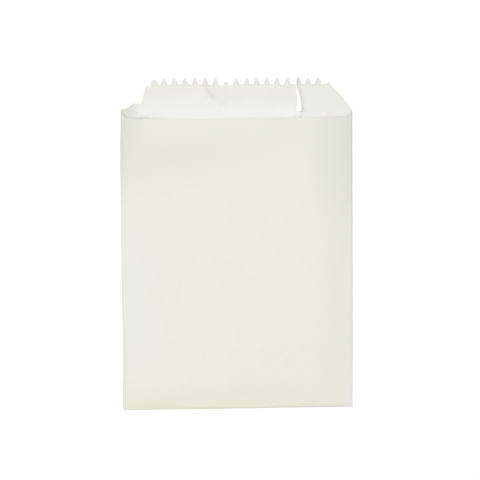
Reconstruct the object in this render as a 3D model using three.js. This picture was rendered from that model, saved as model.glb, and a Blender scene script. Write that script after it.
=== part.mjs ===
// A flat white paper bag for prepared food, lying on its back with its mouth a little open.
//
// Millimetres. X runs across the bag, +Y from the folded bottom to the mouth, +Z up. The origin is
// at the middle of the bag's footprint, on the surface it lies on. The front panel is on top. The
// back panel is on the surface and is longer than the front, so that a toothed lip shows past the
// front panel's straight rim. The whole bag is one thin closed wall: a flattened tube of paper,
// folded over and glued at the bottom, with a glued lengthwise seam in the back panel that stands
// open over the lip.

import * as THREE from "three";

// ---- driving dimensions ----
const WIDTH = 140; // across the bag, from side fold to side fold, where it lies flat
const FRONT_LENGTH = 180.9; // bottom fold to the front panel's rim, at the middle
const LIP = 19.1; // what the back panel adds up to the valleys between the teeth
const TOOTH = 4.5; // height of a tooth
const PITCH = 6.08; // from tooth to tooth
const TOOTH_BASE = 4.0; // width of a tooth at its root
const TEETH = 18; // full teeth along the lip
const FIRST_TOOTH = -48.6; // x of the first full tooth
const EDGE_TOOTH = { x: -53.4, tip: -0.3, root: 1.7, valley: -1.5 }; // half-torn tooth at the lip's left end

const WALL = 0.35; // thickness of the wall
const FOLD_GAP = 0.3; // room between the panels at a pressed fold
const CREASE_LIFT = { left: 4.0, right: 2.7 }; // the side folds stand this far off the surface at the mouth
const BULGE = 9.0; // the front panel's rise over the side folds at the mouth
const BULGE_POWER = { left: 4.2, right: 2.8 }; // how flat the front panel is from its middle to each side
const MOUTH_NARROWS = 1.3; // each side fold comes in this far at the mouth
const BACK_FLAT = 0.62; // share of the half width over which the back panel lies flat

const BOTTOM_SLANT = 1.3; // the bottom fold runs this far up over the width, left to right
const CORNER = { cut: 0.9, run: 3.0 }; // the bottom corners are this soft
const FLAP = 12.5; // the folded and glued bottom end, on the back
const FLAP_STEP = 0.6; // its thickness
const FLAP_BLEND = 18; // length over which the back panel comes down from the flap to the surface

const RIM_UPTURN = { rise: 4.1, run: 5.5 }; // the front rim sweeps up to the side folds
const LEFT_SHOULDER = { start: 4.35, rise: 7.9, bend: 8.5, run: 11.75 }; // low shoulder left of the lip
const LEFT_EDGE = { run: 3.6 }; // the steep edge from that shoulder to the lip
const RIGHT_SLOPE = { start: 4.0, run: 13.2, bow: 0.9 }; // the slanting cut at the lip's right end

const SLIT = { left: 35.9, leftTop: 35.2, right: 38.9, rightTop: 36.0, reach: 26 }; // the parted top of the seam
const SEAM_RIDGE = 0.25; // the second layer along the seam, on the inside

const SEGMENTS_FRONT = 22;

// ---- outlines in the plane of the paper ----
const halfWidth = WIDTH / 2;
const clamp01 = (t) => Math.min(1, Math.max(0, t));
const smooth = (t) => {
  const c = clamp01(t);
  return c * c * (3 - 2 * c);
};
const mix = (a, b, t) => a + (b - a) * t;

// 0 in the left part of the bag, 1 in the right part
const toRight = (x) => smooth((x + 45) / 90);

// half the bag's width at height y, folds included
function sideAt(y) {
  const up = clamp01((y - 25) / (FRONT_LENGTH - 25));
  return halfWidth - MOUTH_NARROWS * mix(up, smooth(up), 0.4);
}

// the bottom fold's line
function bottomAt(x) {
  const along = (x + halfWidth) / WIDTH;
  const fromEdge = halfWidth - Math.abs(x);
  const soft = 1 - clamp01(fromEdge / CORNER.run);
  return BOTTOM_SLANT * Math.pow(clamp01(along), 1.3) + CORNER.cut * soft * soft;
}

// the front panel's rim
function rimAt(x) {
  const fromEdge = sideAt(FRONT_LENGTH) - Math.abs(x);
  const up = 1 - clamp01(fromEdge / RIM_UPTURN.run);
  return FRONT_LENGTH + RIM_UPTURN.rise * up * up;
}

// the lip's outline without its teeth
function lipBaseAt(x) {
  const side = sideAt(FRONT_LENGTH);
  const top = FRONT_LENGTH + LIP;
  const fromLeft = x + side;
  const fromRight = side - x;
  if (fromLeft < LEFT_SHOULDER.run) {
    return FRONT_LENGTH + mix(LEFT_SHOULDER.start, LEFT_SHOULDER.rise, smooth(fromLeft / LEFT_SHOULDER.bend));
  }
  if (fromLeft < LEFT_SHOULDER.run + LEFT_EDGE.run) {
    return mix(FRONT_LENGTH + LEFT_SHOULDER.rise, top, (fromLeft - LEFT_SHOULDER.run) / LEFT_EDGE.run);
  }
  if (fromRight < RIGHT_SLOPE.run) {
    const t = fromRight / RIGHT_SLOPE.run;
    return FRONT_LENGTH + mix(RIGHT_SLOPE.start, LIP, t) + RIGHT_SLOPE.bow * Math.sin(Math.PI * t);
  }
  return top;
}

// ---- heights of the two panels ----
function openness(y) {
  const t = clamp01(y / FRONT_LENGTH);
  return 0.5 * Math.sin((Math.PI / 2) * t) + 0.5 * t;
}
const foldHalf = WALL + FOLD_GAP / 2;

// the back panel's rise off the surface over the glued flap
function flapLift(y, bottom) {
  const from = y - bottom - FLAP;
  if (from <= 0) return FLAP_STEP;
  return FLAP_STEP * (1 - smooth(from / FLAP_BLEND));
}
function creaseAt(x, y, bottom) {
  const lift = mix(CREASE_LIFT.left, CREASE_LIFT.right, toRight(x)) - foldHalf;
  return foldHalf + flapLift(y, bottom) * 0.75 + lift * Math.pow(openness(y), 1.5);
}

function frontOuter(x, y, bottom) {
  const power = mix(BULGE_POWER.left, BULGE_POWER.right, toRight(x));
  const across = 1 - Math.pow(clamp01(Math.abs(x) / sideAt(y)), power);
  return creaseAt(x, y, bottom) + foldHalf + BULGE * openness(y) * across;
}
// the middle of the back panel is flat on the surface, and its sides rise to the folds
function backOuter(x, y, bottom) {
  const rise = smooth((Math.abs(x) / sideAt(y) - BACK_FLAT) / (1 - BACK_FLAT));
  const glued = y - bottom <= FLAP;
  const level = glued ? 0 : flapLift(y, bottom);
  const edge = Math.max(0, creaseAt(x, y, bottom) - foldHalf - level);
  return level + (glued ? 0 : edge * rise);
}
function backInner(x, y, bottom) {
  const rise = smooth((Math.abs(x) / sideAt(y) - BACK_FLAT) / (1 - BACK_FLAT));
  const level = flapLift(y, bottom);
  const edge = Math.max(0, creaseAt(x, y, bottom) - foldHalf - level);
  return level + edge * rise + WALL;
}

// ---- columns round the tube: the left fold, the front, the right fold, the back ----
const topSide = sideAt(FRONT_LENGTH);
const inset = 0.6; // where a fold's rounding ends
const columns = [];
columns.push({ kind: "fold", u: -topSide });
for (let i = 0; i <= SEGMENTS_FRONT; i++) {
  // closer together near the folds, where the panel turns down
  const t = -Math.cos((Math.PI * i) / SEGMENTS_FRONT);
  const even = -1 + (2 * i) / SEGMENTS_FRONT;
  columns.push({ kind: "front", u: (topSide - inset) * mix(even, t, 0.6) });
}
const rightFold = columns.length;
columns.push({ kind: "fold", u: topSide });

const lipTop = FRONT_LENGTH + LIP;
const back = [];
const addBack = (u, top) => back.push({ kind: "back", u, top });
addBack(-topSide + inset, lipBaseAt(-topSide + inset));
for (const share of [0.22, 0.5, 0.78, 1]) {
  const u = -topSide + LEFT_SHOULDER.run * share;
  addBack(u, lipBaseAt(u));
}
addBack(EDGE_TOOTH.x, lipTop + EDGE_TOOTH.tip);
addBack(EDGE_TOOTH.x + EDGE_TOOTH.root, lipTop + EDGE_TOOTH.valley);
let lastTooth = FIRST_TOOTH;
for (let k = 0; k < TEETH; k++) {
  const x = FIRST_TOOTH + k * PITCH;
  const half = TOOTH_BASE / 2;
  lastTooth = x;
  if (k > 0) addBack(x - half, lipTop);
  else addBack(x - half * 0.8, lipTop);
  addBack(x, lipTop + TOOTH);
  if (x + half < topSide - RIGHT_SLOPE.run) addBack(x + half, lipTop);
}
for (const share of [1, 0.75, 0.5, 0.25]) {
  const u = topSide - RIGHT_SLOPE.run * share;
  if (u > lastTooth + 0.4) addBack(u, lipBaseAt(u));
}
addBack(topSide - inset, lipBaseAt(topSide - inset));

// the slit's own two columns are the last root column left of it and the tip of the next tooth
const slitLeft = back.filter((c) => c.u < SLIT.leftTop).at(-1);
const slitRight = back[back.indexOf(slitLeft) + 1];
slitLeft.edge = "left";
slitRight.edge = "right";
slitRight.top = Math.min(slitRight.top, lipTop + TOOTH);
back.reverse(); // the loop runs left, front, right, back
columns.push(...back);
const N = columns.length;

// x of a column at height y: the paper right of the slit gives way to it
function columnX(c, y) {
  const scaled = (c.u * sideAt(y)) / topSide;
  if (c.kind !== "back") return scaled;
  const open = smooth((y - 150) / (FRONT_LENGTH - 150));
  const down = clamp01((lipTop - y) / (LIP - RIM_UPTURN.rise));
  const leftEdge = mix(SLIT.leftTop, SLIT.left, smooth(down / 0.72));
  const rightEdge = mix(SLIT.rightTop, SLIT.right, 1 - Math.pow(1 - down, 1.8));
  if (c.edge === "left") return mix(scaled, leftEdge, open);
  if (c.edge === "right") return mix(scaled, rightEdge, open);
  const ref = (slitRight.u * sideAt(y)) / topSide;
  const away = (c.u - slitRight.u) / SLIT.reach;
  if (away <= 0 || away >= 1) return scaled;
  return scaled + (rightEdge - ref) * open * (1 - away) * (1 - away);
}

// ---- rows: the bottom fold, the shared length, the front rim's row, and the lip's own rows ----
const shared = [0, 0.35, 3.2, FLAP, FLAP + 0.25, 20, 31, 50, 75, 100, 122, 142, 158, 171];
const RIM_ROW = shared.length;
const lipRows = [0.3, 0.6, 0.82, 1]; // shares of the way from the rim's row to the cut edge
const TOP_ROW = RIM_ROW + lipRows.length;
const shoulder = FRONT_LENGTH + RIM_UPTURN.rise;

function rowY(c, r) {
  const x = c.u;
  const bottom = bottomAt(x);
  if (r < RIM_ROW) return bottom + shared[r] * (1 - bottom / FRONT_LENGTH);
  if (c.kind === "front") return rimAt(x);
  if (c.kind === "fold") return shoulder;
  if (r === RIM_ROW) return shoulder;
  return mix(shoulder, Math.max(c.top, shoulder), lipRows[r - RIM_ROW - 1]);
}

function outerPoint(c, r) {
  const bottom = bottomAt(c.u);
  const y = rowY(c, r);
  const x = columnX(c, y);
  const onFold = Math.sign(x) * sideAt(y);
  const crease = creaseAt(x, y, bottom);
  if (r === 0) {
    // the bottom fold's outermost line, a little thinner than the rest
    const mid = FLAP_STEP * 0.5 + foldHalf;
    if (c.kind === "fold") return [onFold, y, mid];
    return [x, y, c.kind === "front" ? mid + foldHalf * 0.55 : mid - foldHalf - FLAP_STEP * 0.25];
  }
  if (c.kind === "fold") return [onFold, y, crease];
  if (c.kind === "front") return [x, y, frontOuter(x, y, bottom)];
  return [x, y, backOuter(x, y, bottom)];
}

// the cavity: the same columns, brought in by the wall
const CAVITY_ROW = 1;
function innerPoint(c, r) {
  const bottom = bottomAt(c.u);
  const lift = r === CAVITY_ROW ? WALL + 0.5 : 0; // the cavity ends short of the bottom fold
  const y = rowY(c, r) + lift;
  const x = columnX(c, y);
  const pull = (sideAt(y) - WALL - 0.45) / sideAt(y);
  const crease = creaseAt(x, y, bottom);
  const edge = c.edge && r >= RIM_ROW;
  const xi = edge ? x : x * pull;
  if (c.kind === "fold") return [Math.sign(x) * sideAt(y) * pull, y, crease];
  if (c.kind === "front") return [xi, y, frontOuter(x, y, bottom) - WALL];
  const ridge = c.edge && r <= RIM_ROW ? SEAM_RIDGE : 0;
  return [xi, y, backInner(x, y, bottom) + ridge];
}

// ---- the closed wall ----
const positions = [];
const outer = [];
const inner = [];
for (let i = 0; i < N; i++) {
  outer.push([]);
  inner.push([]);
  for (let r = 0; r <= TOP_ROW; r++) {
    outer[i].push(positions.length / 3);
    positions.push(...outerPoint(columns[i], r));
    inner[i].push(positions.length / 3);
    positions.push(...innerPoint(columns[i], Math.max(r, CAVITY_ROW)));
  }
}

// equal points are one vertex, so that rows that run out at a fold close up
const key = (v) => positions.slice(3 * v, 3 * v + 3).map((p) => p.toFixed(4)).join();
const first = new Map();
const same = [];
for (let v = 0; v < positions.length / 3; v++) {
  const k = key(v);
  if (!first.has(k)) first.set(k, v);
  same.push(first.get(k));
}
const index = [];
function tri(a, b, c) {
  const [p, q, s] = [same[a], same[b], same[c]];
  if (p !== q && q !== s && s !== p) index.push(p, q, s);
}
const quad = (a, b, c, d) => {
  tri(a, b, c);
  tri(a, c, d);
};

// a cell is the patch from column i to the next and from row r to the next
const next = (i) => (i + 1) % N;
function present(i, r) {
  const a = columns[i];
  const b = columns[next(i)];
  if (r < 0 || r >= TOP_ROW) return false;
  if (r < RIM_ROW) return true;
  if (a.kind === "front" || b.kind === "front") return false;
  // the loop meets the slit's right edge first
  return !(a.edge === "right" && b.edge === "left");
}
for (let i = 0; i < N; i++) {
  const j = next(i);
  for (let r = 0; r < TOP_ROW; r++) {
    if (!present(i, r)) continue;
    quad(outer[i][r], outer[j][r], outer[j][r + 1], outer[i][r + 1]);
    if (r >= CAVITY_ROW) quad(inner[j][r], inner[i][r], inner[i][r + 1], inner[j][r + 1]);
    if (!present(i, r + 1)) quad(outer[i][r + 1], outer[j][r + 1], inner[j][r + 1], inner[i][r + 1]);
    if (r >= RIM_ROW) {
      if (!present((i + N - 1) % N, r)) quad(outer[i][r], outer[i][r + 1], inner[i][r + 1], inner[i][r]);
      if (!present(j, r)) quad(outer[j][r + 1], outer[j][r], inner[j][r], inner[j][r + 1]);
    }
  }
}

// the two ends of the tube at the bottom: the front's points and the back's, joined left to right
function closeBottom(ring, row, flip) {
  const frontLine = [];
  for (let i = 0; i <= rightFold; i++) frontLine.push(i);
  const backLine = [0];
  for (let i = N - 1; i >= rightFold; i--) backLine.push(i);
  const xOf = (i) => positions[3 * ring[i][row]];
  let f = 0;
  let b = 0;
  while (f < frontLine.length - 1 || b < backLine.length - 1) {
    const stepFront =
      b === backLine.length - 1 || (f < frontLine.length - 1 && xOf(frontLine[f + 1]) <= xOf(backLine[b + 1]));
    const F = ring[frontLine[f]][row];
    const B = ring[backLine[b]][row];
    const M = stepFront ? ring[frontLine[f + 1]][row] : ring[backLine[b + 1]][row];
    if (flip) tri(F, M, B);
    else tri(F, B, M);
    if (stepFront) f++;
    else b++;
  }
}
closeBottom(outer, 0, false);
closeBottom(inner, CAVITY_ROW, true);

// ---- the mesh ----
const geometry = new THREE.BufferGeometry();
geometry.setAttribute("position", new THREE.Float32BufferAttribute(positions, 3));
geometry.setIndex(index);
geometry.computeVertexNormals();

// the footprint's middle is the origin
geometry.computeBoundingBox();
const box = geometry.boundingBox;
geometry.translate(-(box.min.x + box.max.x) / 2, -(box.min.y + box.max.y) / 2, 0);

const paper = new THREE.MeshStandardMaterial({ color: 0xebebe3, roughness: 0.82, metalness: 0 });
const bag = new THREE.Mesh(geometry, paper);
bag.name = "bag";

const group = new THREE.Group();
group.add(bag);

export default group;
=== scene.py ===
"""A flat white paper bag for food, lying on its back with its mouth a little open.

Sizes in the shape's functions are millimetres, with y counted from the bottom fold. The mesh is in
metres, in the frame of the CAD model. The paper is one thin closed sheet: the front panel runs round
the bottom fold and ends as the glued flap on the back, and round both side folds into the back
panel, which ends in the toothed lip.
"""

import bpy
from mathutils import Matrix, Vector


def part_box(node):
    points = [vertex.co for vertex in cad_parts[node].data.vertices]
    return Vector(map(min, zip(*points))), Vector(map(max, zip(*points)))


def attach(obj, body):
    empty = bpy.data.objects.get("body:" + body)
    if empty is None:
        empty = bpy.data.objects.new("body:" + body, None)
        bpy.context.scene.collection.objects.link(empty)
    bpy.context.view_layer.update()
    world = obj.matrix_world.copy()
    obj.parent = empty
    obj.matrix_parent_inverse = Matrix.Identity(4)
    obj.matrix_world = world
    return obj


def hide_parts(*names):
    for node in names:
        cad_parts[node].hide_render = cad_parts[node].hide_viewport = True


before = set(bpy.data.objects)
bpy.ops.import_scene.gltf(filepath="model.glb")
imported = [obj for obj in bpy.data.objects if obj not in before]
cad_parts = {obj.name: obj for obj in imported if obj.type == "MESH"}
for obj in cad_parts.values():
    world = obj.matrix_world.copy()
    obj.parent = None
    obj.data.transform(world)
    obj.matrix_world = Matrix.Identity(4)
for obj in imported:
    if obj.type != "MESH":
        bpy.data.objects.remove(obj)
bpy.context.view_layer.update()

import math

import bmesh
import bpy
import numpy as np
from mathutils import Matrix, Vector

MM = 0.001

# ---- the bag's sizes ----
WIDTH = 140.0  # flat width over the side folds
FRONT = 180.9  # bottom fold to the front rim
LIP = 19.1  # what the back panel adds, up to the valleys between the teeth
TOOTH = 4.42
PITCH = 6.08
TOOTH_BASE = 3.5
TEETH = 18
FIRST_TOOTH = -48.6
SLIT_TOOTH = 14  # the tooth whose left part the slit takes
MOUTH_NARROWS = 1.3
BOTTOM_SLANT = 1.5
CORNER_CUT, CORNER_RUN = 1.1, 3.6
FLAP = 12.5
SLIT_END = 183.3  # y of the slit's lower end

PAPER = 0.11  # thickness of the sheet
REST = 0.12  # height of its middle where it lies on the surface
FOLD_RADIUS = 0.22  # of the pressed folds
OPEN_RADIUS = 1.25  # of the side folds at the mouth
FOLD_REACH = math.radians(50)  # how far round the fold its arc goes, each way
CREASE_LEFT, CREASE_RIGHT = 3.7, 2.3  # rise of the side folds at the mouth
BULGE = 6.5  # rise of the front panel over them at the mouth
FLARE = 0.7  # rise of its rim above that

HALF = WIDTH / 2
LIP_TOP = FRONT + LIP
SHOULDER_LEFT, SHOULDER_RIGHT = FRONT + 4.3, FRONT + 3.9  # where the cut edge crosses the side folds

# the CAD solid starts at its bottom fold, so its lowest y places this shape
low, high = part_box("bag")
Y_SHIFT = low[1] / MM + 0.045


def smooth(t):
    t = np.clip(t, 0.0, 1.0)
    return t * t * (3.0 - 2.0 * t)


def mix(a, b, t):
    return a + (b - a) * t


def to_right(x):
    """0 in the left part of the bag, 1 in the right part."""
    return smooth((x + 45.0) / 90.0)


def shoulder_at(x):
    return mix(SHOULDER_LEFT, SHOULDER_RIGHT, to_right(x))


def side_at(x, y):
    """Half the width at y, to the middle of the sheet at the fold. The left fold wanders a little."""
    up = np.clip((y - 25.0) / (FRONT - 25.0), 0.0, 1.0)
    wander = 0.42 * np.exp(-(((y - 48.0) / 26.0) ** 2)) + 0.30 * smooth((y - 165.0) / 14.0) - 0.2 * np.exp(-(((y - 146.0) / 16.0) ** 2))
    return HALF - MOUTH_NARROWS * mix(up, smooth(up), 0.4) - PAPER / 2 - 0.03 - (1.0 - to_right(x)) * wander


def fold_radius(x, y):
    """Pressed flat at the bottom, opening to a round bend at the mouth, on the right from lower down."""
    start = mix(135.0, 95.0, to_right(x))
    return mix(FOLD_RADIUS, OPEN_RADIUS, smooth((y - start) / (FRONT - start)))


def panel_reach(x, y):
    """Half the width of the panels, up to where the fold's arc starts."""
    return side_at(x, y) - fold_radius(x, y) * (1.0 - math.cos(FOLD_REACH))


TOP_SIDE = float(side_at(HALF, FRONT))


def bottom_at(x):
    along = np.clip((x + HALF) / WIDTH, 0.0, 1.0)
    soft = 1.0 - np.clip((HALF - np.abs(x)) / CORNER_RUN, 0.0, 1.0)
    return BOTTOM_SLANT * along**1.3 + CORNER_CUT * soft * soft


# ---- soft unevenness ----
rng = np.random.default_rng(20)


def make_waves(count, short, long):
    """A field of crossing waves between -1 and 1, with wavelengths from short to long."""
    lam = np.exp(rng.uniform(np.log(short), np.log(long), count))
    ang = rng.uniform(0, 2 * np.pi, count)
    ph = rng.uniform(0, 2 * np.pi, count)
    amp = lam / lam.sum()
    kx, ky = 2 * np.pi / lam * np.cos(ang), 2 * np.pi / lam * np.sin(ang)

    def field(x, y):
        out = np.zeros(np.broadcast(x, y).shape)
        for a, p, q, f in zip(amp, kx, ky, ph):
            out = out + a * np.sin(p * x + q * y + f)
        return out * 1.8

    return field


broad = make_waves(9, 45.0, 110.0)
medium = make_waves(12, 16.0, 38.0)
fine = make_waves(16, 5.0, 12.0)
lip_waves = make_waves(10, 12.0, 40.0)
cut_waves = make_waves(14, 2.0, 9.0)


# ---- cut edges ----
LEFT_STEP = 11.75  # how far in from the left fold the lip's steep edge starts


def rim_at(x):
    """The front panel's rim: straight, sweeping up to the side folds."""
    up = 1.0 - np.clip((TOP_SIDE - np.abs(x)) / mix(4.3, 4.8, to_right(x)), 0.0, 1.0)
    return FRONT + (shoulder_at(x) - FRONT) * up * up + 0.10 * cut_waves(x, 0.0) * (1 - up)


def lip_base_at(x):
    """The lip's outline without its teeth."""
    from_left, from_right = x + TOP_SIDE, TOP_SIDE - x
    low_shoulder = FRONT + 4.35 + 0.75 * np.clip(from_left / 2.6, 0.0, 1.0) + 2.9 * smooth((from_left - 2.8) / 5.2)
    low_shoulder = low_shoulder - 0.25 * smooth((from_left - 8.5) / 2.5)
    steep = mix(FRONT + 7.75, LIP_TOP, (from_left - LEFT_STEP) / 3.6)
    s = np.clip(from_right / 13.2, 0.0, 1.0)
    slope = FRONT + mix(3.95, LIP, s) + 0.9 * np.sin(np.pi * s)
    top = LIP_TOP - 0.9 * np.exp(-(((x + 5.4) / 4.6) ** 2)) - 0.5 * np.exp(-(((x - 27.6) / 1.6) ** 2))
    top = np.where(from_left < LEFT_STEP + 3.6, steep, top)
    top = np.where(from_left < LEFT_STEP, low_shoulder, top)
    return np.where(from_right < 13.2, slope, top)


# ---- heights ----
def openness(y):
    """0 at the bottom fold to 1 at the mouth."""
    t = np.clip(y / FRONT, 0.0, 1.0)
    return 0.5 * np.sin(np.pi / 2 * t) + 0.5 * t


def flap_under(v):
    """1 where the glued flap lies under the back panel, 0 clear of it."""
    return 1.0 - smooth((v - FLAP + 0.2) / 15.0)


def back_level(v):
    return REST + 0.17 * flap_under(v)


def crease_at(x, v, y):
    """Height of the side folds. The left one lifts later and higher."""
    rise = mix(CREASE_LEFT * openness(y) ** 2.4, CREASE_RIGHT * openness(y) ** 1.5, to_right(x))
    return back_level(v) + FOLD_RADIUS + rise


def front_height(x, v, y):
    reach = panel_reach(x, y)
    u = np.clip(np.abs(x) / reach, 0.0, 1.0)
    d = np.clip(reach - np.abs(x), 0.0, None)
    r = to_right(x)
    o = openness(y)
    # the left side stays full until close to its fold, the right one falls away sooner
    power = mix(3.2 + 1.8 * smooth((y - 110.0) / 60.0), 2.8, r)
    # near the mouth the panel turns down more steeply into the folds
    edge = mix(0.10 + 0.90 * smooth((y - 132.0) / 40.0), 0.15 + 0.60 * smooth((y - 60.0) / 115.0), r)
    run = mix(2.6, 2.4, r)
    z = crease_at(x, v, y) + fold_radius(x, y) * math.sin(FOLD_REACH)
    z = z + BULGE * o * (1.0 - u**power) + edge * (1.0 - np.exp(-d / run))
    z = z + FLARE * np.clip((y - 148.0) / (FRONT - 148.0), 0.0, 1.2) ** 1.7 * (1.0 - u**4)
    inner = (1.0 - u**5) * smooth(v / 9.0)
    z = z + inner * (0.08 + 0.22 * o) * broad(x, y)
    z = z + inner * (0.03 + 0.05 * o) * medium(x, y)
    z = z + inner * 0.008 * fine(x, y)
    # small crimps pressed in over the bottom fold
    for cx, cv, wide, tall, depth in (
        (5.2, 7.6, 1.5, 2.4, 0.16),
        (15.8, 3.4, 1.7, 1.7, 0.17),
        (-15.5, 7.0, 4.5, 1.1, 0.10),
        (47.0, 3.0, 1.4, 1.6, 0.08),
    ):
        z = z - depth * np.exp(-(((x - cx) / wide) ** 2) - ((v - cv) / tall) ** 2)
    return z


def crease_x(y):
    """Where the soft crease in the lip lies, left of its middle: straight down, then slanting up to the left."""
    slant = 1.0 - np.exp(-np.clip(y - 191.0, 0.0, None) / 4.5)
    return -14.2 + 2.3 * smooth((y - 181.0) / 11.0) - 6.6 * slant


def slit_edges(y):
    """x of the two edges of the seam's parted top, with a straight lower end."""
    down = np.clip((LIP_TOP - y) / (LIP - 4.0), 0.0, 1.0)
    left = 35.2 + 1.0 * smooth(down / 0.72) - 0.65 * smooth((down - 0.72) / 0.28)
    right = 35.95 + 2.95 * (1.0 - (1.0 - down) ** 1.8)
    close = smooth((SLIT_END + 0.55 - y) / 0.7)
    return mix(left, 36.9, close), mix(right, 36.92, close)


def back_height(x, v, y):
    reach = panel_reach(x, y)
    u = np.clip(np.abs(x) / reach, 0.0, 1.0)
    level = back_level(v)
    # next to the left fold the paper stands up more steeply beside the lip
    mouth = smooth((y - 165.0) / 16.0)
    rise = smooth((u - 0.62) / 0.38)
    rise = np.where(x < 0, mix(rise, np.clip((u - 0.815) / 0.185, 0.0, 1.0) ** 1.7, mouth), rise)
    z = level + (crease_at(x, v, y) - fold_radius(x, y) * math.sin(FOLD_REACH) - level) * rise
    free = (1.0 - u**5) * smooth((v - FLAP) / 20.0)
    z = z + free * 0.05 * (1.0 + medium(x, y))
    # the lip: slack waves, a slow lift to the tips that steepens along the teeth
    lip = smooth((y - 172.0) / 16.0)
    out = np.clip((y - 184.0) / 20.0, 0.0, 1.2)
    z = z + lip * (1.0 - u**6) * (0.30 + 0.20 * (1.0 + lip_waves(x, y)) + 0.8 * out**1.6)
    z = z + 0.42 * smooth((y - 198.6) / 5.6)
    # the soft crease: the paper steps up to its right
    past = (x - crease_x(y)) * mix(1.0, 0.80, smooth((y - 189.0) / 5.0))
    fade = lip * mix(0.24, 1.0, smooth((y - 185.0) / 11.5))
    step = 1.0 / (1.0 + np.exp(-np.clip(past / 1.05, -30, 30)))
    z = z + fade * 2.3 * (step - 0.18) * np.exp(-np.abs(past) / 6.5)
    # the parted seam: its right edge stands up towards the top, and a faint fold runs beside its left one
    left, right = slit_edges(y)
    parted = smooth((y - 181.0) / 6.5)
    dr = np.clip(x - right, 0.0, None)
    dl = np.clip(left - x, 0.0, None)
    on_right = x > (left + right) / 2
    z = z + np.where(on_right, parted * (1.30 * np.exp(-dr / 1.25) + 0.60 * np.exp(-dr / 8.0)), 0.0)
    z = z + np.where(on_right, 0.0, parted * 0.38 / (1.0 + np.exp(-np.clip((2.6 - dl) / 0.35, -30, 30))))
    # short pinched pleats by the rim: in the mouth's left corner, under the slit and towards the right corner
    pleats = (
        (-56.8, 180.8, 1.0, 0.85),
        (-53.5, 180.7, 1.0, 0.75),
        (34.1, 180.6, 0.9, 0.8),
        (37.8, 180.8, 0.9, 0.65),
        (52.6, 180.5, 1.2, 0.35),
        (61.8, 180.9, 1.2, 0.40),
    )
    for cx, cy, wide, amount in pleats:
        z = z + amount * np.exp(-(((x - cx) / wide) ** 2) - ((y - cy) / 1.7) ** 2)
    # the seam's edge down the back: one layer lies on the other
    z = z + 0.09 * (1.0 - smooth((x - 34.6) / 0.5)) * smooth((SHOULDER_RIGHT - y) / 6.0) * (1.0 - u**5)
    return np.maximum(z, REST)


# ---- the sheet's columns, round the tube ----
FRONT_KIND, ARC_KIND, BACK_KIND = 0, 1, 2
LEFT_EDGE, RIGHT_EDGE = 1, 2
kinds, us, tops, angles, edges = [], [], [], [], []


def add_column(kind, u, top=0.0, angle=0.0, edge=0):
    kinds.append(kind)
    us.append(u)
    tops.append(top)
    angles.append(angle)
    edges.append(edge)


FRONT_SPANS = 110
ARC = [math.degrees(FOLD_REACH) * k for k in (-0.72, -0.4, 0.0, 0.4, 0.72)]
for a in ARC:
    add_column(ARC_KIND, -1.0, angle=a)
for i in range(FRONT_SPANS + 1):
    even = -1.0 + 2.0 * i / FRONT_SPANS
    close = -math.cos(math.pi * i / FRONT_SPANS)
    add_column(FRONT_KIND, mix(even, close, 0.6))
for a in reversed(ARC):
    add_column(ARC_KIND, 1.0, angle=a)

EDGE_X = float(panel_reach(HALF, FRONT))
back = []  # (x, top of the cut edge, which edge of the slit)


def outline(x):
    return float(lip_base_at(np.array(x)))


for share in (0.0, 0.02, 0.05, 0.09, 0.14, 0.2, 0.27, 0.34, 0.41, 0.48, 0.55, 0.62, 0.69, 0.76, 0.84, 0.92, 1.0):
    x = mix(-EDGE_X, -TOP_SIDE + LEFT_STEP - 0.05, share)
    back.append((x, outline(x), 0))
for share in (0.0, 0.2, 0.4, 0.6, 0.8):
    x = -TOP_SIDE + LEFT_STEP + 3.6 * share
    back.append((x, outline(x), 0))
# a half-torn tooth
for x, under in ((-53.3, 0.1), (-52.6, 0.8), (-51.8, 1.5), (-51.0, 1.3)):
    back.append((x, LIP_TOP - under, 0))
tooth_rng = np.random.default_rng(5)
for k in range(TEETH):
    x0 = FIRST_TOOTH + k * PITCH + tooth_rng.uniform(-0.2, 0.2)
    half = TOOTH_BASE / 2 * tooth_rng.uniform(0.92, 1.10)
    tall = TOOTH * tooth_rng.uniform(0.92, 1.05)
    lean = tooth_rng.uniform(-0.2, 0.2)
    if k == 0:
        half, tall = half * 1.25, tall * 0.78
    if k == 7:
        tall *= 0.66
    if k == TEETH - 1:
        tall *= 0.25
    if k == SLIT_TOOTH:
        x0, half, lean = FIRST_TOOTH + k * PITCH + 0.2, TOOTH_BASE / 2, 0.0
        back.append((35.15, outline(35.15), LEFT_EDGE))
    for s in (-1.0, -0.95, -0.84, -0.68, -0.48, -0.28, -0.1, 0.1, 0.28, 0.48, 0.68, 0.84, 0.95, 1.0):
        x = x0 + s * half + lean * (1 - abs(s))
        if x > TOP_SIDE - 13.2 or (k == SLIT_TOOTH and s < -0.5):
            continue
        cut = (1.0 - abs(s) ** 1.25) ** 0.62
        first = k == SLIT_TOOTH and s == -0.48
        back.append((x, outline(x) + tall * cut, RIGHT_EDGE if first else 0))
    gap = x0 + half, x0 + PITCH - TOOTH_BASE / 2
    for share in (0.35, 0.65):
        x = mix(gap[0], gap[1], share)
        if x < TOP_SIDE - 13.2 and k < TEETH - 1 and not (k == SLIT_TOOTH - 1 and x > 34.8):
            back.append((x, outline(x), 0))
for share in (1.0, 0.95, 0.9, 0.84, 0.77, 0.7, 0.62, 0.54, 0.46, 0.38, 0.3, 0.23, 0.16, 0.1, 0.05, 0.02, 0.0):
    x = mix(EDGE_X, TOP_SIDE - 13.2, share)
    back.append((x, outline(x) + 0.12 * float(cut_waves(np.array(x), 40.0)) * math.sin(math.pi * share), 0))
back.sort(key=lambda c: -c[0])
for x, top, edge in back:
    add_column(BACK_KIND, x / EDGE_X, top=top, edge=edge)

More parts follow.
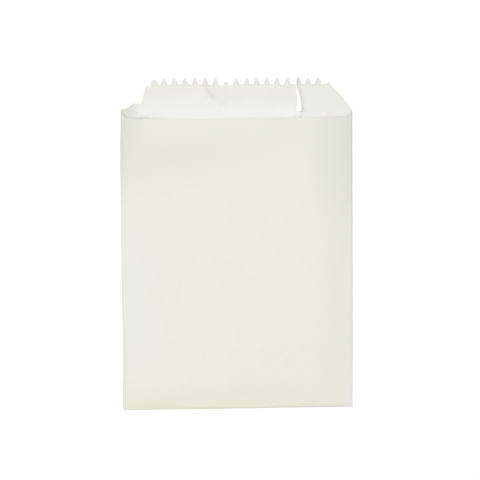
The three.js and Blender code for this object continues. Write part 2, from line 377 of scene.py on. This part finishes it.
kinds, us, tops, angles, edges = (np.array(a) for a in (kinds, us, tops, angles, edges))
N = len(kinds)
is_front, is_arc, is_back = kinds == FRONT_KIND, kinds == ARC_KIND, kinds == BACK_KIND
NOMINAL = np.where(is_arc, us * TOP_SIDE, us * EDGE_X)
split_right = us[edges == RIGHT_EDGE][0]
split_left = us[edges == LEFT_EDGE][0]

# ---- and its rows, from the flap's edge to the cut edge ----
arc_rows = [-90, -60, -30, 0, 30, 60, 90]
flap_rows = [1.0, 0.97, 0.88, 0.74, 0.58, 0.42, 0.28, 0.16, 0.07]
main_rows = [0.8, 1.5, 2.3, 3.2, 4.1, 5.0, 6.0, 7.0, 8.1, 9.3, 10.6, 11.7, 12.3, 12.8, 13.6, 15.0, 17.0, 19.4, 22.0]
while main_rows[-1] < 170.0:
    main_rows.append(main_rows[-1] + 3.0)
LAST_MAIN = main_rows[-1]
rise_rows = [y for y in np.arange(LAST_MAIN + 1.4, 178.6, 1.2)] + [y for y in np.arange(179.0, SHOULDER_RIGHT - 0.1, 0.28)]
top_shares = [(y - LAST_MAIN) / (SHOULDER_RIGHT - LAST_MAIN) for y in rise_rows] + [1.0]
lip_shares = [0.05, 0.11, 0.18, 0.26, 0.35, 0.44, 0.53, 0.62, 0.71, 0.8, 0.89, 0.95, 1.0]
tooth_shares = [0.2, 0.4, 0.6, 0.8, 1.0]
rows = (
    [("flap", s) for s in flap_rows]
    + [("round", a) for a in arc_rows]
    + [("main", v) for v in main_rows]
    + [("top", s) for s in top_shares]
    + [("lip", s) for s in lip_shares]
    + [("tooth", s) for s in tooth_shares]
)
R = len(rows)
FIRST_MAIN = len(flap_rows) + len(arc_rows)
FIRST_LIP = FIRST_MAIN + len(main_rows) + len(top_shares)
ROUND = (back_level(0.0) + 2 * FOLD_RADIUS - REST) / 2  # radius of the bottom fold

B = bottom_at(NOMINAL)
SQUEEZE = 1.0 - B / FRONT
RIM = rim_at(NOMINAL)
SHOULDER = shoulder_at(NOMINAL)
TOPS = np.maximum(tops, SHOULDER)
ROOTS = np.maximum(np.minimum(lip_base_at(NOMINAL), TOPS) - 0.8, mix(SHOULDER, TOPS, 0.7))


def back_x(y):
    """The back columns' x at y: the paper on both sides of the slit gives way to it."""
    scaled = us * panel_reach(NOMINAL, y)
    open_ = smooth((y - 135.0) / 47.0)
    left, right = slit_edges(y)
    away_r = (us - split_right) * EDGE_X / 26.0
    away_l = (split_left - us) * EDGE_X / 14.0
    push_r = np.where((away_r >= 0) & (away_r < 1), (right - split_right * EDGE_X) * open_ * (1 - np.clip(away_r, 0, 1)) ** 2, 0.0)
    push_l = np.where((away_l >= 0) & (away_l < 1), (left - split_left * EDGE_X) * open_ * (1 - np.clip(away_l, 0, 1)) ** 2, 0.0)
    return scaled + push_r + push_l


def place_row(kind, s):
    """x, y and z of every column at one row, in millimetres."""
    side0 = panel_reach(NOMINAL, np.zeros(N))
    if kind == "flap":
        x = us * side0 * (1.0 - 0.004 * s)
        up = 1.0 - np.clip((HALF - np.abs(x)) / 5.0, 0.0, 1.0)
        end = FLAP - 2.4 * up * up + 0.08 * cut_waves(x, 90.0)
        return x, B + ROUND + (end - ROUND) * s, np.full(N, REST)
    if kind == "round":
        a = math.radians(s)
        return us * side0, B + ROUND * (1.0 - math.cos(a)), np.full(N, REST + ROUND + ROUND * math.sin(a))
    if kind == "main":
        y = B + s * SQUEEZE
    else:
        last = B + LAST_MAIN * SQUEEZE
        t = s if kind == "top" else 1.0
        y = np.where(is_front, mix(last, RIM, t), mix(last, SHOULDER, t))
        if kind == "lip":
            y = np.where(is_back, mix(SHOULDER, ROOTS, s), y)
        elif kind == "tooth":
            y = np.where(is_back, mix(ROOTS, TOPS, s), y)
    v = (y - B) / SQUEEZE
    side, radius, a = side_at(NOMINAL, y), fold_radius(NOMINAL, y), np.radians(angles)
    x_arc = us * (side - radius + radius * np.cos(a))
    z_arc = crease_at(NOMINAL, v, y) + radius * np.sin(a)
    x_front = us * panel_reach(NOMINAL, y)
    z_front = front_height(x_front, v, y)
    x_back = back_x(y)
    nudge = np.where(edges == LEFT_EDGE, -0.01, np.where(edges == RIGHT_EDGE, 0.01, 0.0))
    z_back = back_height(x_back + nudge, v, y)
    x = np.where(is_front, x_front, np.where(is_arc, x_arc, x_back))
    z = np.where(is_front, z_front, np.where(is_arc, z_arc, z_back))
    return x, y, z


grid = np.stack([np.stack(place_row(kind, s)) for kind, s in rows])  # row, axis, column


def exists(i, r):
    """Whether the cell from column i to the next and from row r to the next is paper."""
    j = (i + 1) % N
    if r < FIRST_MAIN:
        return is_front[i] and is_front[j]
    slit = edges[i] == RIGHT_EDGE and edges[j] == LEFT_EDGE
    if r < FIRST_LIP - 1:
        return not (slit and grid[r, 1, i] > SLIT_END)
    return bool(is_back[i] and is_back[j] and not slit)


verts, faces, ids = [], [], {}
for i in range(N):
    for r in range(R):
        if (is_front[i] and r >= FIRST_LIP) or (not is_front[i] and r < FIRST_MAIN) or (is_arc[i] and r >= FIRST_LIP):
            continue
        ids[i, r] = len(verts)
        x, y, z = grid[r, :, i]
        verts.append((x * MM, (y + Y_SHIFT) * MM, z * MM))
for i in range(N):
    j = (i + 1) % N
    for r in range(R - 1):
        if exists(i, r):
            faces.append([ids[i, r], ids[j, r], ids[j, r + 1], ids[i, r + 1]])

sheet = bpy.data.meshes.new("sheet")
sheet.from_pydata(verts, [], faces)
bm = bmesh.new()
bm.from_mesh(sheet)
bmesh.ops.remove_doubles(bm, verts=bm.verts, dist=2e-6)
bmesh.ops.dissolve_degenerate(bm, edges=bm.edges, dist=1e-7)
loose = [v for v in bm.verts if not v.link_faces]
bmesh.ops.delete(bm, geom=loose, context="VERTS")
bmesh.ops.recalc_face_normals(bm, faces=bm.faces)
bm.faces.ensure_lookup_table()
# the outside of the front panel looks up
mid = min(bm.faces, key=lambda f: (f.calc_center_median() - Vector((0, 0, 0.008))).length)
if mid.normal.z < 0:
    bmesh.ops.reverse_faces(bm, faces=bm.faces)
bm.to_mesh(sheet)
bm.free()

rough = bpy.data.objects.new("rough", sheet)
bpy.context.scene.collection.objects.link(rough)
thick = rough.modifiers.new("thickness", "SOLIDIFY")
thick.thickness = PAPER * MM
thick.offset = 0.0
thick.use_even_offset = True
thick.use_quality_normals = True
thick.material_offset = 1
thick.material_offset_rim = 0
for name in ("outside", "inside"):
    sheet.materials.append(bpy.data.materials.new("placeholder_" + name))
graph = bpy.context.evaluated_depsgraph_get()
solid = bpy.data.meshes.new_from_object(rough.evaluated_get(graph))
bpy.data.objects.remove(rough)
bpy.data.meshes.remove(sheet)
solid.name = "bag_paper"
bag = bpy.data.objects.new("bag_paper", solid)
bpy.context.scene.collection.objects.link(bag)
solid.shade_smooth()
solid.set_sharp_from_angle(angle=math.radians(50))


# ---- materials ----
def paper_material(name, base, warm, rough_mean, is_inside):
    mat = bpy.data.materials.new(name)
    mat.use_nodes = True
    nt = mat.node_tree
    nt.nodes.clear()
    out = nt.nodes.new("ShaderNodeOutputMaterial")
    shader = nt.nodes.new("ShaderNodeBsdfPrincipled")
    nt.links.new(shader.outputs["BSDF"], out.inputs["Surface"])
    shader.inputs["Metallic"].default_value = 0.0
    shader.inputs["Specular IOR Level"].default_value = 0.35
    shader.inputs["Sheen Weight"].default_value = 0.06
    shader.inputs["Sheen Roughness"].default_value = 0.5

    where = nt.nodes.new("ShaderNodeTexCoord")

    def mapped(scale):
        m = nt.nodes.new("ShaderNodeMapping")
        m.inputs["Scale"].default_value = scale
        nt.links.new(where.outputs["Object"], m.inputs["Vector"])
        return m.outputs["Vector"]

    def noise(scale, detail, roughness, distortion=0.0):
        n = nt.nodes.new("ShaderNodeTexNoise")
        n.inputs["Scale"].default_value = 1.0
        n.inputs["Detail"].default_value = detail
        n.inputs["Roughness"].default_value = roughness
        n.inputs["Distortion"].default_value = distortion
        nt.links.new(mapped(scale), n.inputs["Vector"])
        return n.outputs["Fac"]

    def math_node(op, a, b=None, clamp=False):
        m = nt.nodes.new("ShaderNodeMath")
        m.operation = op
        m.use_clamp = clamp
        for slot, v in enumerate((a, b)):
            if v is None:
                continue
            if isinstance(v, (int, float)):
                m.inputs[slot].default_value = v
            else:
                nt.links.new(v, m.inputs[slot])
        return m.outputs[0]

    def ramp(fac, lo, hi, a, b):
        m = nt.nodes.new("ShaderNodeMapRange")
        m.interpolation_type = "SMOOTHSTEP"
        m.inputs["From Min"].default_value = lo
        m.inputs["From Max"].default_value = hi
        m.inputs["To Min"].default_value = a
        m.inputs["To Max"].default_value = b
        nt.links.new(fac, m.inputs["Value"])
        return m.outputs["Result"]

    def blend(fac, a, b, mode="MIX"):
        m = nt.nodes.new("ShaderNodeMix")
        m.data_type = "RGBA"
        m.blend_type = mode
        for slot, v in ((0, fac), (6, a), (7, b)):
            if isinstance(v, tuple):
                m.inputs[slot].default_value = v
            elif isinstance(v, (int, float)):
                m.inputs[slot].default_value = v
            else:
                nt.links.new(v, m.inputs[slot])
        return m.outputs[2]

    # the sheet's cloudy formation, fibres along and across, and a faint felt of short fibres
    clouds = noise((240.0, 200.0, 240.0), 3.0, 0.55)
    patches = noise((38.0, 26.0, 38.0), 2.0, 0.5)
    fibre_a = noise((2600.0, 420.0, 2600.0), 3.0, 0.6, 0.4)
    fibre_b = noise((520.0, 2400.0, 2400.0), 2.0, 0.6, 0.4)
    grain = noise((4200.0, 3600.0, 4200.0), 2.0, 0.5)

    colour = blend(ramp(clouds, 0.32, 0.68, 0.0, 1.0), base, warm)
    colour = blend(ramp(patches, 0.35, 0.7, 0.0, 0.35), colour, warm)
    pale = (min(1.0, base[0] * 1.03), min(1.0, base[1] * 1.03), min(1.0, base[2] * 1.045), 1.0)
    strands = math_node("MULTIPLY", ramp(fibre_a, 0.60, 0.74, 0.0, 0.8), 1.0)
    colour = blend(strands, colour, pale)
    dim = (base[0] * 0.965, base[1] * 0.963, base[2] * 0.945, 1.0)
    colour = blend(ramp(fibre_b, 0.62, 0.76, 0.0, 0.35), colour, dim)

    # three layers lie over each other along the bottom and show through; the stronger darkening close to the bottom
    # fold is painted shade where the paper turns round it
    split = nt.nodes.new("ShaderNodeSeparateXYZ")
    nt.links.new(where.outputs["Object"], split.inputs[0])
    bottom = (Y_SHIFT + 0.0) * MM
    layered_and_fold_shade = (base[0] * 0.952, base[1] * 0.942, base[2] * 0.850, 1.0)
    for lower, upper, amount in ((8.0, 30.0, 0.22), (FLAP - 2.2, FLAP + 1.6, 0.14), (3.0, 9.5, 0.46), (0.4, 4.6, 0.75)):
        near = ramp(split.outputs["Y"], bottom + lower * MM, bottom + upper * MM, amount, 0.0)
        colour = blend(near, colour, layered_and_fold_shade)
    # painted shade towards the mouth and the side folds, where the panels part and the paper turns from the light
    parted = (base[0] * 0.95, base[1] * 0.953, base[2] * 0.925, 1.0)
    along, across = split.outputs["Y"], split.outputs["X"]
    near_mouth = ramp(along, bottom + 118.0 * MM, bottom + 165.0 * MM, 0.0, 0.35 if is_inside else 0.80)
    colour = blend(near_mouth, colour, parted)
    high_up = ramp(along, bottom + 128.0 * MM, bottom + 160.0 * MM, 0.0, 1.0)
    at_left = ramp(across, -(HALF - 1.0) * MM, -(HALF - 11.0) * MM, 0.9, 0.0)
    colour = blend(math_node("MULTIPLY", at_left, high_up), colour, parted)
    at_right = ramp(across, (HALF - 34.0) * MM, (HALF - 1.5) * MM, 0.0, 0.45 if is_inside else 0.85)
    colour = blend(at_right, colour, parted)
    # painted shade at the sides of the mouth, where the paper stands steepest and turns from the light
    steep = (base[0] * 0.88, base[1] * 0.888, base[2] * 0.872, 1.0)
    left_strip = ramp(across, -(HALF - 2.2) * MM, -(HALF - 5.8) * MM, 1.0, 0.0)
    colour = blend(math_node("MULTIPLY", left_strip, high_up), colour, steep)
    right_strip = ramp(across, (HALF - 5.0) * MM, (HALF - 0.8) * MM, 0.0, 0.80)
    from_half = ramp(along, bottom + 95.0 * MM, bottom + 140.0 * MM, 0.0, 1.0)
    colour = blend(math_node("MULTIPLY", right_strip, from_half), colour, steep)
    if not is_inside:
        # painted shade where the panel's corners by the mouth turn away from the light
        by_rim = ramp(along, bottom + 157.0 * MM, bottom + 178.0 * MM, 0.0, 1.0)
        left_turn = ramp(across, -(HALF - 4.0) * MM, -(HALF - 20.0) * MM, 0.55, 0.0)
        colour = blend(math_node("MULTIPLY", left_turn, by_rim), colour, steep)
        upper_third = ramp(along, bottom + 108.0 * MM, bottom + 168.0 * MM, 0.0, 1.0)
        right_turn = ramp(across, 41.0 * MM, 61.0 * MM, 0.0, 0.60)
        colour = blend(math_node("MULTIPLY", right_turn, upper_third), colour, steep)
        # the left side lies a touch cooler low down
        cooler = (base[0] * 1.0, base[1] * 1.0, base[2] * 1.04, 1.0)
        low_side = ramp(across, -(HALF - 3.0) * MM, -(HALF - 24.0) * MM, 0.75, 0.0)
        lower_part = ramp(along, bottom + 85.0 * MM, bottom + 120.0 * MM, 1.0, 0.0)
        lower_part = math_node("MULTIPLY", lower_part, ramp(along, bottom + 18.0 * MM, bottom + 48.0 * MM, 0.0, 1.0))
        colour = blend(math_node("MULTIPLY", low_side, lower_part), colour, cooler)
        # the glued seam up the back: two layers, and a little shade along the outer one's cut edge
        shape = nt.nodes.new("ShaderNodeNewGeometry")
        facing = nt.nodes.new("ShaderNodeSeparateXYZ")
        nt.links.new(shape.outputs["True Normal"], facing.inputs[0])
        clear_of_flap = ramp(along, bottom + (FLAP + 0.9) * MM, bottom + (FLAP + 1.3) * MM, 0.0, 1.0)
        underside = math_node("MULTIPLY", ramp(facing.outputs["Z"], -0.7, -0.3, 1.0, 0.0), clear_of_flap)
        doubled = (base[0] * 0.975, base[1] * 0.970, base[2] * 0.935, 1.0)
        overlap = math_node("MULTIPLY", ramp(across, 34.7 * MM, 35.1 * MM, 0.0, 0.8), ramp(across, 45.2 * MM, 46.4 * MM, 1.0, 0.0))
        colour = blend(math_node("MULTIPLY", overlap, underside), colour, doubled)
        shade = (base[0] * 0.72, base[1] * 0.72, base[2] * 0.68, 1.0)
        cut_line = math_node("MULTIPLY", ramp(across, 34.35 * MM, 34.75 * MM, 0.0, 0.6), ramp(across, 34.8 * MM, 35.1 * MM, 1.0, 0.0))
        colour = blend(math_node("MULTIPLY", cut_line, underside), colour, shade)
    if is_inside:
        # the low part of the lip is paler, with painted shade where the two panels come together under the rim
        cool = (base[0] * 0.98, base[1] * 0.982, min(1.0, base[2] * 1.008), 1.0)
        lower_half = ramp(along, bottom + (FRONT + 3.0) * MM, bottom + (FRONT + 13.0) * MM, 1.0, 0.0)
        colour = blend(math_node("MULTIPLY", lower_half, ramp(across, 52.0 * MM, 62.0 * MM, 1.0, 0.2)), colour, cool)
        deep_shade = (base[0] * 0.86, base[1] * 0.865, base[2] * 0.85, 1.0)
        low_lip = ramp(along, bottom + (FRONT + 0.1) * MM, bottom + (FRONT + 3.7) * MM, 1.0, 0.0)
        more = math_node("ADD", ramp(across, 43.0 * MM, 57.0 * MM, 0.0, 1.0), ramp(across, -60.0 * MM, -40.0 * MM, 0.5, 0.0))
        colour = blend(math_node("MULTIPLY", low_lip, more), colour, deep_shade)
        # painted shade in the mouth's left corner, where the inner side of the fold faces away from the light
        left_corner = ramp(across, -(HALF - 4.5) * MM, -(HALF - 15.0) * MM, 1.0, 0.0)
        colour = blend(math_node("MULTIPLY", left_corner, high_up), colour, deep_shade)
        # painted shade on the inside towards the right fold
        colour = blend(ramp(across, 57.0 * MM, 63.0 * MM, 0.0, 0.18), colour, deep_shade)
        # right of the slit the lip is a little darker: painted shade where that part of the sheet turns from the light
        turned_shade = (base[0] * 0.965, base[1] * 0.962, base[2] * 0.96, 1.0)
        colour = blend(ramp(across, 31.0 * MM, 42.0 * MM, 0.0, 0.7), colour, turned_shade)
        # light that comes through the thin front panel brightens the paper just behind its rim
        through = (min(1.0, base[0] * 1.04), min(1.0, base[1] * 1.04), min(1.0, base[2] * 1.04), 1.0)
        behind = ramp(along, bottom + (FRONT - 2.6) * MM, bottom + (FRONT + 0.6) * MM, 1.0, 0.0)
        middle = math_node("MULTIPLY", ramp(across, -46.0 * MM, -34.0 * MM, 0.0, 1.0), ramp(across, 36.0 * MM, 46.0 * MM, 1.0, 0.0))
        middle = math_node("MULTIPLY", middle, ramp(across, -20.0 * MM, 5.0 * MM, 1.0, 0.4))
        colour = blend(math_node("MULTIPLY", behind, middle), colour, through)
    # darker along both side folds: partly rubbed wear, partly painted shade where the paper turns round the folds
    rubbed_and_shade = (base[0] * 0.95, base[1] * 0.952, base[2] * 0.985, 1.0)
    at_edge = ramp(math_node("ABSOLUTE", across), (HALF - 4.4) * MM, (HALF - 1.6) * MM, 0.0, 0.5)
    colour = blend(at_edge, colour, rubbed_and_shade)
    nt.links.new(colour, shader.inputs["Base Color"])

    rough = ramp(clouds, 0.3, 0.7, rough_mean - 0.05, rough_mean + 0.06)
    nt.links.new(rough, shader.inputs["Roughness"])

    relief = math_node("ADD", math_node("MULTIPLY", clouds, 0.9), math_node("MULTIPLY", fibre_a, 0.22))
    relief = math_node("ADD", relief, math_node("MULTIPLY", fibre_b, 0.16))
    relief = math_node("ADD", relief, math_node("MULTIPLY", grain, 0.10))
    bump = nt.nodes.new("ShaderNodeBump")
    bump.inputs["Strength"].default_value = 0.55
    bump.inputs["Distance"].default_value = 0.00006
    nt.links.new(relief, bump.inputs["Height"])
    nt.links.new(bump.outputs["Normal"], shader.inputs["Normal"])
    return mat


outside = paper_material("paper_outside", (0.800, 0.800, 0.736, 1.0), (0.788, 0.787, 0.716, 1.0), 0.60, False)
inside = paper_material("paper_inside", (0.783, 0.784, 0.741, 1.0), (0.771, 0.772, 0.722, 1.0), 0.72, True)
bag.material_slots[0].material = outside
bag.material_slots[1].material = inside

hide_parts("bag")
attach(bag, "root")

# ---- the surface it lies on ----
bm = bmesh.new()
bmesh.ops.create_grid(bm, x_segments=1, y_segments=1, size=4.0)
floor_mesh = bpy.data.meshes.new("surface")
bm.to_mesh(floor_mesh)
bm.free()
floor = bpy.data.objects.new("surface", floor_mesh)
bpy.context.scene.collection.objects.link(floor)
floor_mat = bpy.data.materials.new("pale_surface")
floor_mat.use_nodes = True
floor_shader = floor_mat.node_tree.nodes["Principled BSDF"]
floor_shader.inputs["Base Color"].default_value = (0.97, 0.97, 0.97, 1.0)
floor_shader.inputs["Roughness"].default_value = 0.9
floor_shader.inputs["Specular IOR Level"].default_value = 0.0
floor_mesh.materials.append(floor_mat)

# ---- soft studio light ----
scene = bpy.context.scene
world = bpy.data.worlds.new("studio")
scene.world = world
world.use_nodes = True
background = world.node_tree.nodes["Background"]
background.inputs["Color"].default_value = (1.0, 1.0, 1.0, 1.0)
background.inputs["Strength"].default_value = 0.20


def area_light(name, place, size, power, colour=(1.0, 1.0, 1.0), aim=(0.0, 0.0, 0.0)):
    data = bpy.data.lights.new(name, "AREA")
    data.shape = "DISK"
    data.size = size
    data.energy = power
    data.color = colour
    lamp = bpy.data.objects.new(name, data)
    scene.collection.objects.link(lamp)
    place = Vector(place)
    lamp.location = place
    lamp.rotation_mode = "QUATERNION"
    lamp.rotation_quaternion = (Vector(aim) - place).to_track_quat("-Z", "Y")
    return lamp


area_light("key", (-0.40, 1.22, 2.93), 1.8, 46.5)
area_light("top", (0.0, 0.90, 3.07), 1.8, 54.5)

# ---- camera: the photograph's, over the bag and twelve degrees over to the mouth ----
CAMERA_FOCAL_PX = 2334.74
CAMERA_TILT, CAMERA_DISTANCE, CAMERA_ROLL = math.radians(12.0), 1.4, math.radians(0.2959)
aim = Vector((1.93, 106.03 + Y_SHIFT, 3.0)) * MM
view = Vector((0.0, math.sin(CAMERA_TILT), math.cos(CAMERA_TILT)))
right = Vector((1.0, 0.0, 0.0))
up = view.cross(right)
turned_right = right * math.cos(CAMERA_ROLL) - up * math.sin(CAMERA_ROLL)
turned_up = up * math.cos(CAMERA_ROLL) + right * math.sin(CAMERA_ROLL)
lens = bpy.data.cameras.new("camera")
lens.sensor_width = 36.0
lens.lens = 36.0 * CAMERA_FOCAL_PX / 480.0
lens.clip_start, lens.clip_end = 0.05, 20.0
camera = bpy.data.objects.new("camera", lens)
scene.collection.objects.link(camera)
basis = Matrix((turned_right, turned_up, view)).transposed().to_4x4()
basis.translation = aim + view * CAMERA_DISTANCE
camera.matrix_world = basis
scene.camera = camera

scene.view_settings.view_transform = "Standard"
scene.view_settings.look = "None"
scene.view_settings.exposure = 0.0
scene.view_settings.gamma = 1.0
